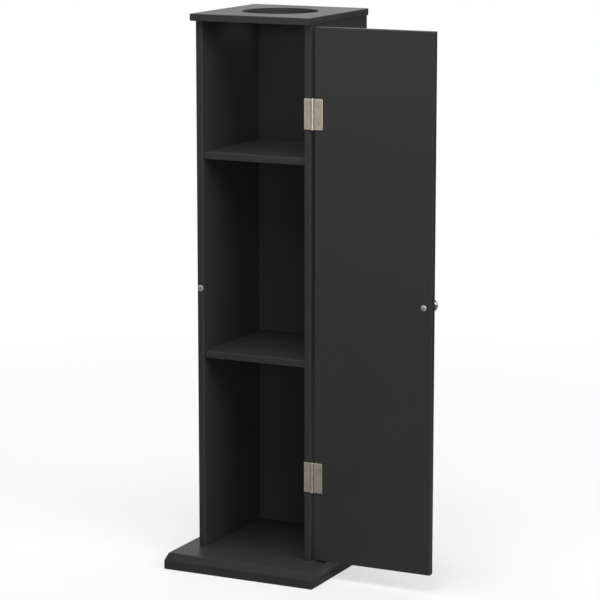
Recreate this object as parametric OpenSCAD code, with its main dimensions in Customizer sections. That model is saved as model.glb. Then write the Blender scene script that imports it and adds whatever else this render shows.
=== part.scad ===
// Toilet roll storage cabinet: a tall, slim, free-standing cabinet of painted board.
// Two side panels stand on a moulded base board. They carry two fixed shelves, a back panel in
// grooves and a top board with a round hole. One door hangs on the right side panel by two butt
// hinges. It is drawn swung right open, its inner face level with the panels' front edges.
// X runs to the right, Y to the back and Z up. The origin is on the floor, in the middle of the
// base board's footprint.

/* [Carcass] */
// Overall height, from the floor to the top face
total_h = 700; // [640:5:760]
// Width over the outer faces of the side panels
body_w = 158; // [152:1:190]
// Depth of the side panels, from front edge to back edge
side_d = 162; // [150:1:200]
// Thickness of the side panels, shelves, top board and door
board_t = 9; // [9:0.5:12]
// Flat that takes the sharpness off a board's edges
edge_break = 0.6; // [0.3:0.1:1]

/* [Top board] */
// How far the top board stands out past each side panel
top_side_over = 2; // [1:0.5:6]
// How far the top board stands out in front of the side panels
top_front_over = 12; // [11:0.5:20]
// Diameter of the round hole in the top board
hole_d = 96; // [70:1:110]

/* [Base board] */
// Thickness of the base board
base_h = 21; // [18:0.5:25]
// How far the base board stands out past each side panel
base_side_over = 25; // [15:1:40]
// How far the base board stands out in front of the side panels
base_front_over = 48; // [20:1:60]
// How far the bevel along the front and sides leans in
bevel_in = 4.5; // [2:0.5:8]
// Height of the bevel
bevel_h = 9.6; // [5:0.2:12]

/* [Shelves and back] */
// Clear height of the lowest bay
lower_bay_h = 246; // [200:1:250]
// Clear height of the middle bay
middle_bay_h = 243; // [200:1:250]
// How far the shelves' front edges lie behind the side panels' front edges
shelf_set_back = 3; // [1:0.5:10]
// Thickness of the back panel
back_t = 3; // [2.5:0.5:4]
// Distance from the side panels' back edges to the back panel
back_inset = 5; // [4:0.5:10]
// Depth of the grooves that hold the back panel
groove_d = 3; // [2:0.5:4]

/* [Door] */
// Gap above and below the door
door_gap = 2; // [1:0.5:4]
// How far the closed door stops short of the left panel's outer face
door_short = 1; // [0:0.5:3]

/* [Hinges] */
// Height of a hinge
hinge_h = 38; // [30:1:50]
// Distance from the end of the door to the middle of a hinge
hinge_from_end = 106; // [60:1:140]
// Thickness of the sheet that the leaves and their knuckles are made of
leaf_t = 1; // [0.9:0.1:1.2]
// Gap between the two leaves when the door is shut
leaf_gap = 0.3; // [0.3:0.1:0.6]
// Width of the leaf on the door
door_leaf_w = 11; // [10:0.5:14]
// Corner radius of the leaf on the door
door_leaf_r = 2; // [1:0.5:3]
// Bevel round the seen face of a leaf
leaf_bevel = 0.3; // [0.1:0.1:0.5]
// Number of knuckles, an odd number
knuckles = 5; // [3:2:7]
// Diameter of the hinge pin
pin_d = 2.4; // [2.2:0.1:2.8]
// Distance of a leaf's screws from the middle of its height
leaf_screw_z = 11.5; // [9:0.5:12]

/* [Knob and catch] */
// Largest diameter of the knob
knob_d = 16; // [14:1:20]
// How far the knob stands out from the door
knob_out = 20; // [18:1:24]
// Distance of the knob from the door's free edge
knob_from_edge = 11; // [10:0.5:14]
// Diameter of the magnet sleeve's flange
sleeve_d = 8; // [7:0.5:8.5]

/* [Hidden] */
// Outlines of small round pieces, and of the hole in the top board
$fn = 48;
hole_fn = 128;
// A cut runs this far past the face it opens on
over = 1;
// Slack on the radius round a turning pin, round what is glued or driven in, and round a free screw
run_slack = 0.05;
fix_slack = 0.02;
free_slack = 0.2;
// Gap between moving and standing metal
part_gap = 0.3;
// Air at the closed end of a hole
end_gap = 0.5;

// Carcass
side_x = body_w / 2;
inner_x = side_x - board_t;
edge_mid_x = side_x - board_t / 2;
base_w = body_w + 2 * base_side_over;
base_d = side_d + base_front_over;
front_y = base_front_over - base_d / 2;
back_y = base_d / 2;
carcass_top = total_h - board_t;
side_h = carcass_top - base_h;
lower_shelf_z = base_h + lower_bay_h;
upper_shelf_z = lower_shelf_z + board_t + middle_bay_h;
shelf_heights = [lower_shelf_z, upper_shelf_z];
back_face_y = back_y - back_inset - back_t;
shelf_y = front_y + shelf_set_back;
shelf_d = back_face_y - fix_slack - shelf_y;
top_w = body_w + 2 * top_side_over;
top_y = front_y - top_front_over;
top_d = back_y - top_y;

// Hinges: the knuckles are rolled from the leaves' own sheet
pin_r = pin_d / 2;
bore_r = pin_r + run_slack;
knuckle_r = bore_r + leaf_t;
knuckle_len = (hinge_h - (knuckles - 1) * part_gap) / knuckles;
knuckle_step = knuckle_len + part_gap;
seam_w = leaf_gap / 2;
pin_head_r = 1.8;
pin_head_t = 0.6;

// Door, as it stands open
hinge_x = side_x + part_gap + knuckle_r;
hinge_y = front_y - leaf_t - leaf_gap / 2;
door_x = 2 * hinge_x - side_x;
door_w = body_w - door_short;
door_z = base_h + door_gap;
door_h = side_h - 2 * door_gap;
hinge_heights = [door_z + door_h - hinge_from_end, door_z + hinge_from_end];
frame_leaf_reach = hinge_x - inner_x;
door_leaf_reach = door_x + door_leaf_w - hinge_x;
frame_screw_x = edge_mid_x;
door_screw_x = door_x + door_leaf_w / 2;
knob_x = door_x + door_w - knob_from_edge;
catch_z = door_z + door_h / 2;

// Screws: shank radius, head radius and length of each kind
frame_screw = [1.2, 2.1, 12];
door_screw = [1.2, 2.1, 8];
base_screw = [1.75, 3.5, 45];
screw_tip_r = 0.2;
leaf_hole_slack = 0.1;
base_screw_sink = 0.8;
base_screw_inset = 22;
base_screw_y = [front_y + base_screw_inset, back_y - base_screw_inset];

// Dowels
dowel_r = 2.5;
dowel_len = 20;
dowel_taper = 0.8;
// How deep a dowel goes into the thinner of the two boards, or half way where both are deep
dowel_short = 6;
dowel_half = dowel_len / 2;
dowel_y = [front_y + 30, back_y - 40];
base_dowel_y = (front_y + back_y) / 2;

// Knob and its screw
knob_foot_r = 4.8;
knob_foot_h = 1.6;
knob_foot_ease = 0.5;
knob_neck_r = 3.9;
knob_neck_h = 5;
knob_rim_r = 0.9;
knob_rim_from_top = 4;
knob_screw_r = 2;
knob_screw_head_r = 3.75;
knob_screw_head_t = 1;
knob_screw_rim = 0.35;
knob_screw_point = 0.4;
knob_bite = 9;

// Magnetic catch
flange_t = 0.9;
sleeve_r = 3;
sleeve_len = 12;
sleeve_rim = 0.3;
magnet_r = 2.3;
magnet_len = 5;
magnet_sink = 0.2;
magnet_face = flange_t - magnet_sink;

// Colours
paint = [0.17, 0.17, 0.175];
raw_wood = [0.78, 0.62, 0.42];
nickel = [0.66, 0.62, 0.57];
dull_nickel = [0.35, 0.35, 0.36];
steel = [0.7, 0.7, 0.7];

// Points of an arc about [x, y], rx wide and ry high, from angle a to angle b
function arc(x, y, rx, ry, a, b, steps) =
  [for (i = [0:steps]) let (t = a + (b - a) * i / steps) [x + rx * cos(t), y + ry * sin(t)]];

// A rectangle with its four corners cut off at 45 degrees
module eased_rect(w, h) {
  e = edge_break;
  polygon([[e, 0], [w - e, 0], [w, e], [w, h - e], [w - e, h], [e, h], [0, h - e], [0, e]]);
}

// A board with all its edges broken, one corner at the origin
module eased_board(w, d, h) {
  intersection() {
    linear_extrude(h) eased_rect(w, d);
    translate([0, d, 0]) rotate([90, 0, 0]) linear_extrude(d) eased_rect(w, h);
    rotate([90, 0, 90]) linear_extrude(w) eased_rect(d, h);
  }
}

// A countersunk wood screw, its head's face at the origin and its point down
module wood_screw(size) {
  shank_r = size[0];
  head_r = size[1];
  length = size[2];
  rotate_extrude() polygon([
    [0, -length], [screw_tip_r, -length], [shank_r, 2 * shank_r - length],
    [shank_r, shank_r - head_r], [head_r, 0], [0, 0]
  ]);
}

// The hole that such a screw's shank bites into, going down from the origin
module screw_pilot(size, depth) {
  translate([0, 0, -depth]) cylinder(r = size[0] + fix_slack, h = depth + over);
}

// A glued dowel with tapered ends, standing on the origin
module dowel() {
  end_r = dowel_r - dowel_taper / 2;
  rotate_extrude() polygon([
    [0, 0], [end_r, 0], [dowel_r, dowel_taper],
    [dowel_r, dowel_len - dowel_taper], [end_r, dowel_len], [0, dowel_len]
  ]);
}

// A hole for a dowel, going up from the origin
module dowel_hole(depth) {
  translate([0, 0, -over]) cylinder(r = dowel_r + fix_slack, h = depth + end_gap + over);
}

// Both side panels' middle lines
module at_sides() {
  for (side = [-1, 1]) translate([side * edge_mid_x, 0, 0]) children();
}

// The middles of both side panels' inner faces at the shelves' dowels, seen from the left panel
module at_shelf_dowels(heights) {
  for (y = dowel_y, z = heights) translate([-inner_x, y, z + board_t / 2]) children();
}

// Front view of the base board: upright edge below, bevel above
module base_front_outline() {
  w = base_w / 2;
  e = edge_break;
  polygon([
    [e - w, 0], [w - e, 0], [w, e], [w, base_h - bevel_h], [w - bevel_in, base_h],
    [bevel_in - w, base_h], [-w, base_h - bevel_h], [-w, e]
  ]);
}

// Side view of the base board: the bevel runs along the front only
module base_side_outline() {
  f = -base_d / 2;
  b = base_d / 2;
  e = edge_break;
  polygon([
    [f + e, 0], [b - e, 0], [b, e], [b, base_h - e], [b - e, base_h],
    [f + bevel_in, base_h], [f, base_h - bevel_h], [f, e]
  ]);
}

// Clearance hole with a countersink, from beneath
module base_screw_way() {
  hole_r = base_screw[0] + free_slack;
  sink_r = base_screw[1] + base_screw_sink;
  translate([0, 0, -over]) cylinder(r = hole_r, h = base_h + 2 * over);
  translate([0, 0, -over]) cylinder(r1 = sink_r + over, r2 = hole_r, h = sink_r + over - hole_r);
}

module base_board() {
  color(paint) difference() {
    intersection() {
      translate([0, base_d / 2, 0]) rotate([90, 0, 0]) linear_extrude(base_d) base_front_outline();
      translate([-base_w / 2, 0, 0]) rotate([90, 0, 90]) linear_extrude(base_w) base_side_outline();
    }
    at_sides() {
      for (y = base_screw_y) translate([0, y, 0]) base_screw_way();
      translate([0, base_dowel_y, base_h]) mirror([0, 0, 1]) dowel_hole(dowel_half);
    }
  }
}

// A side panel as the left one stands, with the groove and the holes that both share
module side_panel_blank() {
  difference() {
    translate([-side_x, front_y, base_h]) linear_extrude(side_h) eased_rect(board_t, side_d);
    translate([-inner_x - groove_d, back_face_y - fix_slack, base_h - over])
      cube([groove_d + over, back_t + 2 * fix_slack, side_h + 2 * over]);
    translate([-edge_mid_x, 0, base_h]) {
      for (y = base_screw_y) translate([0, y, 0])
        mirror([0, 0, 1]) screw_pilot(base_screw, base_screw[2] + base_screw_sink - base_h + end_gap);
      translate([0, base_dowel_y, 0]) dowel_hole(dowel_half);
    }
    for (y = dowel_y) translate([-edge_mid_x, y, carcass_top])
      mirror([0, 0, 1]) dowel_hole(dowel_len - dowel_short);
    at_shelf_dowels(shelf_heights) rotate([0, -90, 0]) dowel_hole(dowel_short);
  }
}

module left_side_panel() {
  color(paint) difference() {
    side_panel_blank();
    translate([-edge_mid_x, front_y - over, catch_z]) rotate([-90, 0, 0])
      cylinder(r = sleeve_r + fix_slack, h = sleeve_len + end_gap + over);
  }
}

module right_side_panel() {
  color(paint) difference() {
    mirror([1, 0, 0]) side_panel_blank();
    at_leaf_screws(frame_screw_x) screw_pilot(frame_screw, frame_screw[2] - leaf_t + end_gap);
  }
}

module back_panel() {
  w = 2 * (inner_x + groove_d - fix_slack);
  color(paint) translate([-w / 2, back_face_y, base_h]) cube([w, back_t, side_h]);
}

// A shelf, its underside at height z
module shelf(z) {
  color(paint) difference() {
    translate([-inner_x, shelf_y, z]) rotate([90, 0, 90])
      linear_extrude(2 * inner_x) eased_rect(shelf_d, board_t);
    for (side = [0, 1]) mirror([side, 0, 0])
      at_shelf_dowels([z]) rotate([0, 90, 0]) dowel_hole(dowel_len - dowel_short);
  }
}

module upper_shelf() { shelf(upper_shelf_z); }

module lower_shelf() { shelf(lower_shelf_z); }

module top_board() {
  e = edge_break;
  color(paint) difference() {
    translate([-top_w / 2, top_y, carcass_top]) eased_board(top_w, top_d, board_t);
    translate([0, top_y + top_d / 2, carcass_top]) {
      translate([0, 0, -over]) cylinder(d = hole_d, h = board_t + 2 * over, $fn = hole_fn);
      // the flats on the hole's two rims
      translate([0, 0, board_t - e]) cylinder(d1 = hole_d, d2 = hole_d + 4 * e, h = 2 * e, $fn = hole_fn);
      translate([0, 0, -e]) cylinder(d1 = hole_d + 4 * e, d2 = hole_d, h = 2 * e, $fn = hole_fn);
    }
    at_sides() for (y = dowel_y) translate([0, y, carcass_top]) dowel_hole(dowel_short);
  }
}

module door_panel() {
  color(paint) difference() {
    translate([door_x, front_y, door_z]) eased_board(door_w, board_t, door_h);
    at_leaf_screws(door_screw_x) screw_pilot(door_screw, door_screw[2] - leaf_t + end_gap);
    translate([knob_x, front_y - over, catch_z]) rotate([-90, 0, 0])
      cylinder(r = knob_screw_r + free_slack, h = board_t + 2 * over);
  }
}

// Where the leaves' screws go in at distance x, pointing out of the board
module at_leaf_screws(x) {
  for (z = hinge_heights, s = [-1, 1])
    translate([x, front_y, z + s * leaf_screw_z]) rotate([90, 0, 0]) children();
}

// A leaf's flat plate, its bevelled face to the front. The hinge line is the Z axis and the plate is
// on the +X side; r rounds its two far corners.
module leaf_plate(reach, r) {
  face = leaf_gap / 2;
  rear = face + leaf_t;
  top = hinge_h / 2;
  b = leaf_bevel;
  intersection() {
    translate([0, 0, -top]) linear_extrude(hinge_h)
      polygon([[0, face], [reach - b, face], [reach, face + b], [reach, rear], [0, rear]]);
    rotate([90, 0, 90]) linear_extrude(reach) polygon([
      [face, b - top], [face, top - b], [face + b, top], [rear, top], [rear, -top], [face + b, -top]
    ]);
    union() {
      translate([0, face, -top]) cube([reach - r, leaf_t, hinge_h]);
      if (r > 0) {
        translate([0, face, r - top]) cube([reach, leaf_t, hinge_h - 2 * r]);
        for (z = [r - top, top - r]) translate([reach - r, rear, z]) rotate([90, 0, 0])
          rotate_extrude() polygon([[0, 0], [r, 0], [r, leaf_t - b], [r - b, leaf_t], [0, leaf_t]]);
      }
    }
  }
}

// Countersunk hole in a leaf, its mouth at the origin
module leaf_screw_hole(size) {
  hole_r = size[0] + leaf_hole_slack;
  mouth_r = size[1] + leaf_hole_slack;
  translate([0, 0, -leaf_t - over]) cylinder(r = hole_r, h = leaf_t + 2 * over);
  translate([0, 0, hole_r - mouth_r]) cylinder(r1 = hole_r, r2 = mouth_r, h = mouth_r - hole_r);
  translate([0, 0, -fix_slack / 2]) cylinder(r = mouth_r, h = over);
}

// A leaf whose sheet is rolled round the pin into knuckles, numbered from first in steps of two. A
// seam stays open where the rolled end of the sheet comes back to the leaf's face.
module hinge_leaf(reach, r, first, screw_reach, size) {
  clear_r = knuckle_r + part_gap;
  difference() {
    union() {
      difference() {
        leaf_plate(reach, r);
        for (k = [1 - first:2:knuckles - 1])
          translate([-over, -clear_r, k * knuckle_step - hinge_h / 2 - part_gap])
            cube([clear_r + over, 2 * clear_r, knuckle_len + 2 * part_gap]);
      }
      for (k = [first:2:knuckles - 1])
        translate([0, 0, k * knuckle_step - hinge_h / 2]) cylinder(r = knuckle_r, h = knuckle_len);
    }
    cylinder(r = bore_r, h = hinge_h + 2 * over, center = true);
    translate([0, leaf_gap / 2 - seam_w, -hinge_h / 2 - over])
      cube([knuckle_r + over, seam_w, hinge_h + 2 * over]);
    for (s = [-1, 1]) translate([screw_reach, leaf_gap / 2, s * leaf_screw_z])
      rotate([90, 0, 0]) leaf_screw_hole(size);
  }
}

module frame_leaf(z) {
  color(nickel) translate([hinge_x, hinge_y, z]) mirror([1, 0, 0])
    hinge_leaf(frame_leaf_reach, 0, 0, hinge_x - frame_screw_x, frame_screw);
}

module door_leaf(z) {
  color(nickel) translate([hinge_x, hinge_y, z])
    hinge_leaf(door_leaf_reach, door_leaf_r, 1, door_screw_x - hinge_x, door_screw);
}

// A pin with a rounded rivet head at each end
module hinge_pin(z) {
  half = hinge_h / 2;
  ease = pin_head_t;
  steps = 4;
  color(steel) translate([hinge_x, hinge_y, z]) rotate_extrude() polygon(concat(
    [[0, -half - pin_head_t]],
    arc(pin_head_r - ease, -half, ease, pin_head_t, -90, 0, steps),
    [[pin_r, -half], [pin_r, half]],
    arc(pin_head_r - ease, half, ease, pin_head_t, 0, 90, steps),
    [[0, half + pin_head_t]]
  ));
}

module upper_hinge_frame_leaf() { frame_leaf(hinge_heights[0]); }

module lower_hinge_frame_leaf() { frame_leaf(hinge_heights[1]); }

module upper_hinge_door_leaf() { door_leaf(hinge_heights[0]); }

module lower_hinge_door_leaf() { door_leaf(hinge_heights[1]); }

module upper_hinge_pin() { hinge_pin(hinge_heights[0]); }

module lower_hinge_pin() { hinge_pin(hinge_heights[1]); }

module hinge_frame_screws() {
  color(nickel) at_leaf_screws(frame_screw_x) translate([0, 0, leaf_t]) wood_screw(frame_screw);
}

module hinge_door_screws() {
  color(nickel) at_leaf_screws(door_screw_x) translate([0, 0, leaf_t]) wood_screw(door_screw);
}

// The flanged sleeve pressed into the left panel's front edge, with the magnet's pocket
module magnet_sleeve() {
  flange_r = sleeve_d / 2;
  pocket_r = magnet_r + fix_slack;
  pocket_z = magnet_face - magnet_len;
  color(steel) translate([-edge_mid_x, front_y, catch_z]) rotate([90, 0, 0]) rotate_extrude() polygon([
    [pocket_r, flange_t], [flange_r - sleeve_rim, flange_t], [flange_r, flange_t - sleeve_rim],
    [flange_r, 0], [sleeve_r, 0], [sleeve_r, sleeve_rim - sleeve_len],
    [sleeve_r - sleeve_rim, -sleeve_len], [0, -sleeve_len], [0, pocket_z], [pocket_r, pocket_z]
  ]);
}

module catch_magnet() {
  color(dull_nickel) translate([-edge_mid_x, front_y, catch_z]) rotate([90, 0, 0])
    translate([0, 0, magnet_face - magnet_len]) cylinder(r = magnet_r, h = magnet_len);
}

// Half outline of the turned knob: foot on the door, neck, flared cup, rounded rim, domed face
function knob_outline() =
  let (
    steps = 10,
    inner_r = knob_d / 2 - knob_rim_r,
    rim_z = knob_out - knob_rim_from_top,
    flare = inner_r - knob_neck_r,
    climb = rim_z - knob_rim_r - knob_neck_h,
    ease = knob_foot_ease
  )
  concat(
    [[0, 0], [knob_foot_r, 0]],
    arc(knob_foot_r - ease, knob_foot_h - ease, ease, ease, 0, 90, 3),
    [[knob_neck_r, knob_foot_h]],
    arc(knob_neck_r + flare, knob_neck_h, flare, climb, 180, 90, steps),
    arc(inner_r, rim_z, knob_rim_r, knob_rim_r, -60, 60, 4),
    arc(0, rim_z + knob_rim_r, inner_r, knob_rim_from_top - knob_rim_r, 0, 90, steps)
  );

module door_knob() {
  color(steel) translate([knob_x, front_y + board_t, catch_z]) rotate([-90, 0, 0]) difference() {
    rotate_extrude() polygon(knob_outline());
    translate([0, 0, -over]) cylinder(r = knob_screw_r + fix_slack, h = knob_bite + end_gap + over);
  }
}

// The knob's screw, its low domed head on the door's inner face
module knob_screw() {
  end_z = -board_t - knob_bite;
  dome_h = knob_screw_head_t - knob_screw_rim;
  color(steel) translate([knob_x, front_y, catch_z]) rotate([90, 0, 0]) rotate_extrude() polygon(concat(
    [[0, end_z], [knob_screw_r - knob_screw_point, end_z], [knob_screw_r, end_z + knob_screw_point]],
    [[knob_screw_r, 0], [knob_screw_head_r, 0]],
    arc(0, knob_screw_rim, knob_screw_head_r, dome_h, 0, 90, 6)
  ));
}

module base_screws() {
  color(steel) at_sides() for (y = base_screw_y)
    translate([0, y, base_screw_sink]) mirror([0, 0, 1]) wood_screw(base_screw);
}

module base_dowels() {
  color(raw_wood) at_sides() translate([0, base_dowel_y, base_h - dowel_half]) dowel();
}

module top_dowels() {
  color(raw_wood) at_sides() for (y = dowel_y)
    translate([0, y, carcass_top + dowel_short - dowel_len]) dowel();
}

module shelf_dowels() {
  color(raw_wood) for (side = [0, 1]) mirror([side, 0, 0])
    at_shelf_dowels(shelf_heights) translate([-dowel_short, 0, 0]) rotate([0, 90, 0]) dowel();
}

base_board();
left_side_panel();
right_side_panel();
back_panel();
upper_shelf();
lower_shelf();
top_board();
door_panel();
upper_hinge_frame_leaf();
lower_hinge_frame_leaf();
upper_hinge_door_leaf();
lower_hinge_door_leaf();
upper_hinge_pin();
lower_hinge_pin();
hinge_frame_screws();
hinge_door_screws();
magnet_sleeve();
catch_magnet();
door_knob();
knob_screw();
base_screws();
base_dowels();
top_dowels();
shelf_dowels();
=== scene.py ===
import itertools
import math

import bmesh
import bpy
from mathutils import Matrix, Vector


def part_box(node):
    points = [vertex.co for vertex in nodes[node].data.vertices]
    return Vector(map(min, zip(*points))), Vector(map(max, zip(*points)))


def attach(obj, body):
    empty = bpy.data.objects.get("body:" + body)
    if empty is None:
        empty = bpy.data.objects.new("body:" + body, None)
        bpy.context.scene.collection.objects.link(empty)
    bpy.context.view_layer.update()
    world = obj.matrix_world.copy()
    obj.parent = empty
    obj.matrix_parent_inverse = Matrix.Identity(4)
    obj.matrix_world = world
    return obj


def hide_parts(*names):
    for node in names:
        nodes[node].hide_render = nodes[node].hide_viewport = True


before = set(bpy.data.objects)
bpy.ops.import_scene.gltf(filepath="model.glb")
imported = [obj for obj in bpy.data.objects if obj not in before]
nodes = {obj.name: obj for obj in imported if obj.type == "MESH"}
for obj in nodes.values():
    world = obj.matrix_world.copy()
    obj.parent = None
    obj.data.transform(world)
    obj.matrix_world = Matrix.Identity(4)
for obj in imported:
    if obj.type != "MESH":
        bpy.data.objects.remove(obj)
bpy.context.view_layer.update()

right, back, up = Vector((1, 0, 0)), Vector((0, 1, 0)), Vector((0, 0, 1))
front, down = -back, -up
along, across = 0.9, 0.1  # least and most of a direction that count as along and across an axis


def only(piece):
    bpy.ops.object.select_all(action="DESELECT")
    piece.select_set(True)
    bpy.context.view_layer.objects.active = piece


def fixPlace(piece):
    only(piece)
    bpy.ops.object.transform_apply(location=True, rotation=True, scale=True)


def addBox(name, low, high):
    low, high = Vector(low), Vector(high)
    bpy.ops.object.select_all(action="DESELECT")
    bpy.ops.mesh.primitive_cube_add(size=1, location=(low + high) / 2, scale=high - low)
    piece = bpy.context.object
    piece.name = piece.data.name = name
    fixPlace(piece)
    return piece


def turnTo(way):
    return up.rotation_difference(Vector(way)).to_euler()


# A round piece drawn out of one disc, ring by ring. A ring is a radius and a distance from the seat.
def turnPiece(name, seat, way, rings, sides=64):
    seat, way = Vector(seat), Vector(way)
    radius, height = rings[0]
    bpy.ops.object.select_all(action="DESELECT")
    bpy.ops.mesh.primitive_circle_add(vertices=sides, radius=radius, fill_type="NGON",
                                      location=seat + way * height, rotation=turnTo(way))
    piece = bpy.context.object
    piece.name = piece.data.name = name
    fixPlace(piece)
    bpy.ops.object.mode_set(mode="EDIT")
    bpy.ops.mesh.select_mode(type="FACE")
    bpy.ops.mesh.select_all(action="SELECT")
    for nextRadius, nextHeight in rings[1:]:
        bpy.ops.mesh.extrude_region_move(TRANSFORM_OT_translate={"value": way * (nextHeight - height)})
        if nextRadius != radius:
            grow = nextRadius / radius
            bpy.ops.transform.resize(value=(grow, grow, grow), center_override=seat + way * nextHeight)
        radius, height = nextRadius, nextHeight
    bpy.ops.mesh.select_all(action="SELECT")
    bpy.ops.mesh.normals_make_consistent(inside=False)
    leaveEdit()
    return piece


def addRod(name, start, way, radius, length, sides=48):
    return turnPiece(name, start, way, [(radius, 0), (radius, length)], sides)


# Rings of a quarter round that eases the corner at (radius, height)
def roundOff(radius, height, round, steps=5):
    angles = [math.pi / 2 * step / steps for step in range(steps + 1)]
    return [(radius - round + round * math.cos(a), height - round + round * math.sin(a)) for a in angles]


def edit(piece, kind):
    only(piece)
    bpy.ops.object.mode_set(mode="EDIT")
    bpy.ops.mesh.select_mode(type=kind)
    bpy.ops.mesh.select_all(action="DESELECT")


def pickFaces(piece, test):
    mesh = bmesh.from_edit_mesh(piece.data)
    for face in mesh.faces:
        face.select_set(test(face.calc_center_median(), face.normal))
    bmesh.update_edit_mesh(piece.data)


def pickEdges(piece, test):
    mesh = bmesh.from_edit_mesh(piece.data)
    for edge in mesh.edges:
        a, b = edge.verts
        edge.select_set(test((a.co + b.co) / 2, (b.co - a.co).normalized()))
    mesh.select_flush_mode()
    bmesh.update_edit_mesh(piece.data)


def leaveEdit():
    bpy.ops.object.mode_set(mode="OBJECT")


def applyNew(piece, kind, **values):
    only(piece)
    bpy.ops.object.modifier_add(type=kind)
    modifier = piece.modifiers[-1]
    for key, value in values.items():
        setattr(modifier, key, value)
    bpy.ops.object.modifier_apply(modifier=modifier.name)


def roundEdges(piece, width, segments=3, angle=25):
    applyNew(piece, "BEVEL", width=width, segments=segments, limit_method="ANGLE",
             angle_limit=math.radians(angle), harden_normals=False, miter_outer="MITER_ARC")


def combine(piece, tool, operation="DIFFERENCE"):
    applyNew(piece, "BOOLEAN", object=tool, operation=operation, solver="EXACT")
    bpy.data.meshes.remove(tool.data)


# Slivers left by the cuts are merged away before the shading is smoothed
def smooth(piece, angle=35, sliver=0.000002):
    edit(piece, "VERT")
    bpy.ops.mesh.select_all(action="SELECT")
    bpy.ops.mesh.remove_doubles(threshold=sliver)
    bpy.ops.mesh.dissolve_degenerate(threshold=sliver)
    leaveEdit()
    bpy.ops.object.shade_smooth_by_angle(angle=math.radians(angle))
    applyNew(piece, "WEIGHTED_NORMAL", keep_sharp=True, weight=80)


def joinAll(name, pieces):
    bpy.ops.object.select_all(action="DESELECT")
    for piece in pieces:
        piece.select_set(True)
    bpy.context.view_layer.objects.active = pieces[0]
    if len(pieces) > 1:
        bpy.ops.object.join()
    whole = bpy.context.object
    whole.name = whole.data.name = name
    return whole


# Copies of a piece that was made at the origin along +Z, one at each (place, way, twist in degrees)
def copyTo(model, name, spots):
    copies = []
    for place, way, twist in spots:
        only(model)
        bpy.ops.object.duplicate(linked=False)
        copy = bpy.context.object
        spin = turnTo(way).to_matrix() @ Matrix.Rotation(math.radians(twist), 3, "Z")
        copy.rotation_euler = spin.to_euler()
        copy.location = place
        fixPlace(copy)
        copies.append(copy)
    bpy.data.meshes.remove(model.data)
    return joinAll(name, copies)


def settle(piece, body, slot, material, *replaced):
    piece.data.materials.clear()
    piece.data.materials.append(material)
    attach(piece, body)
    if replaced:
        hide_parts(*replaced)


def newGroup(name, inputs, outputs):
    group = bpy.data.node_groups.new(name, "ShaderNodeTree")
    for label, kind, value in inputs:
        socket = group.interface.new_socket(label, in_out="INPUT", socket_type=kind)
        socket.default_value = value
    for label in outputs:
        group.interface.new_socket(label, in_out="OUTPUT", socket_type="NodeSocketFloat")
    return group, group.nodes.new("NodeGroupInput"), group.nodes.new("NodeGroupOutput")


def setOrLink(tree, socket, value):
    if hasattr(value, "links"):
        tree.links.new(value, socket)
    else:
        socket.default_value = value


def mathNode(tree, operation, a, b, clamp=False):
    node = tree.nodes.new("ShaderNodeMath")
    node.operation, node.use_clamp = operation, clamp
    setOrLink(tree, node.inputs[0], a)
    setOrLink(tree, node.inputs[1], b)
    return node.outputs[0]


def vectorNode(tree, operation, a, b):
    node = tree.nodes.new("ShaderNodeVectorMath")
    node.operation = operation
    setOrLink(tree, node.inputs[0], a)
    setOrLink(tree, node.inputs[1], b)
    return node.outputs[0]


def noiseNode(tree, vector, scale, detail, roughness):
    node = tree.nodes.new("ShaderNodeTexNoise")
    node.inputs["Detail"].default_value = detail
    node.inputs["Roughness"].default_value = roughness
    setOrLink(tree, node.inputs["Scale"], scale)
    tree.links.new(vector, node.inputs["Vector"])
    return node.outputs["Fac"]


def rangeNode(tree, value, fromLow, fromHigh, toLow, toHigh):
    node = tree.nodes.new("ShaderNodeMapRange")
    tree.links.new(value, node.inputs["Value"])
    ends = (("From Min", fromLow), ("From Max", fromHigh), ("To Min", toLow), ("To Max", toHigh))
    for label, number in ends:
        setOrLink(tree, node.inputs[label], number)
    return node.outputs["Result"]


noiseScale = {
    "edge": 90.0,
    "coarsePeel": 0.22,  # beside the fine peel's scale
    "dots": 240.0,
    "dotPatches": 37.0,
    "dust": 26.0,
    "patches": 180.0,
}
# Detail and roughness
noiseGrain = {
    "edge": (3.0, 0.5),
    "cloud": (4.0, 0.55),
    "peel": (2.0, 0.4),
    "coarsePeel": (2.0, 0.5),
    "dotPatches": (1.0, 0.5),
    "dust": (6.0, 0.65),
    "lines": (3.0, 0.6),
    "patches": (4.0, 0.6),
}
peelMix = {"fine": 0.6, "coarse": 0.9}
# Where in a value's range a mask or a roughness goes from one end to the other
spans = {
    "dots": (0.05, 0.11),
    "dotPatches": (0.6, 0.68),
    "facingUp": (0.6, 1.0),
    "dust": (0.35, 0.75),
    "waves": (0.3, 0.7),
    "patches": (0.35, 0.7),
    "lines": (0.3, 0.7),
}


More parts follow.
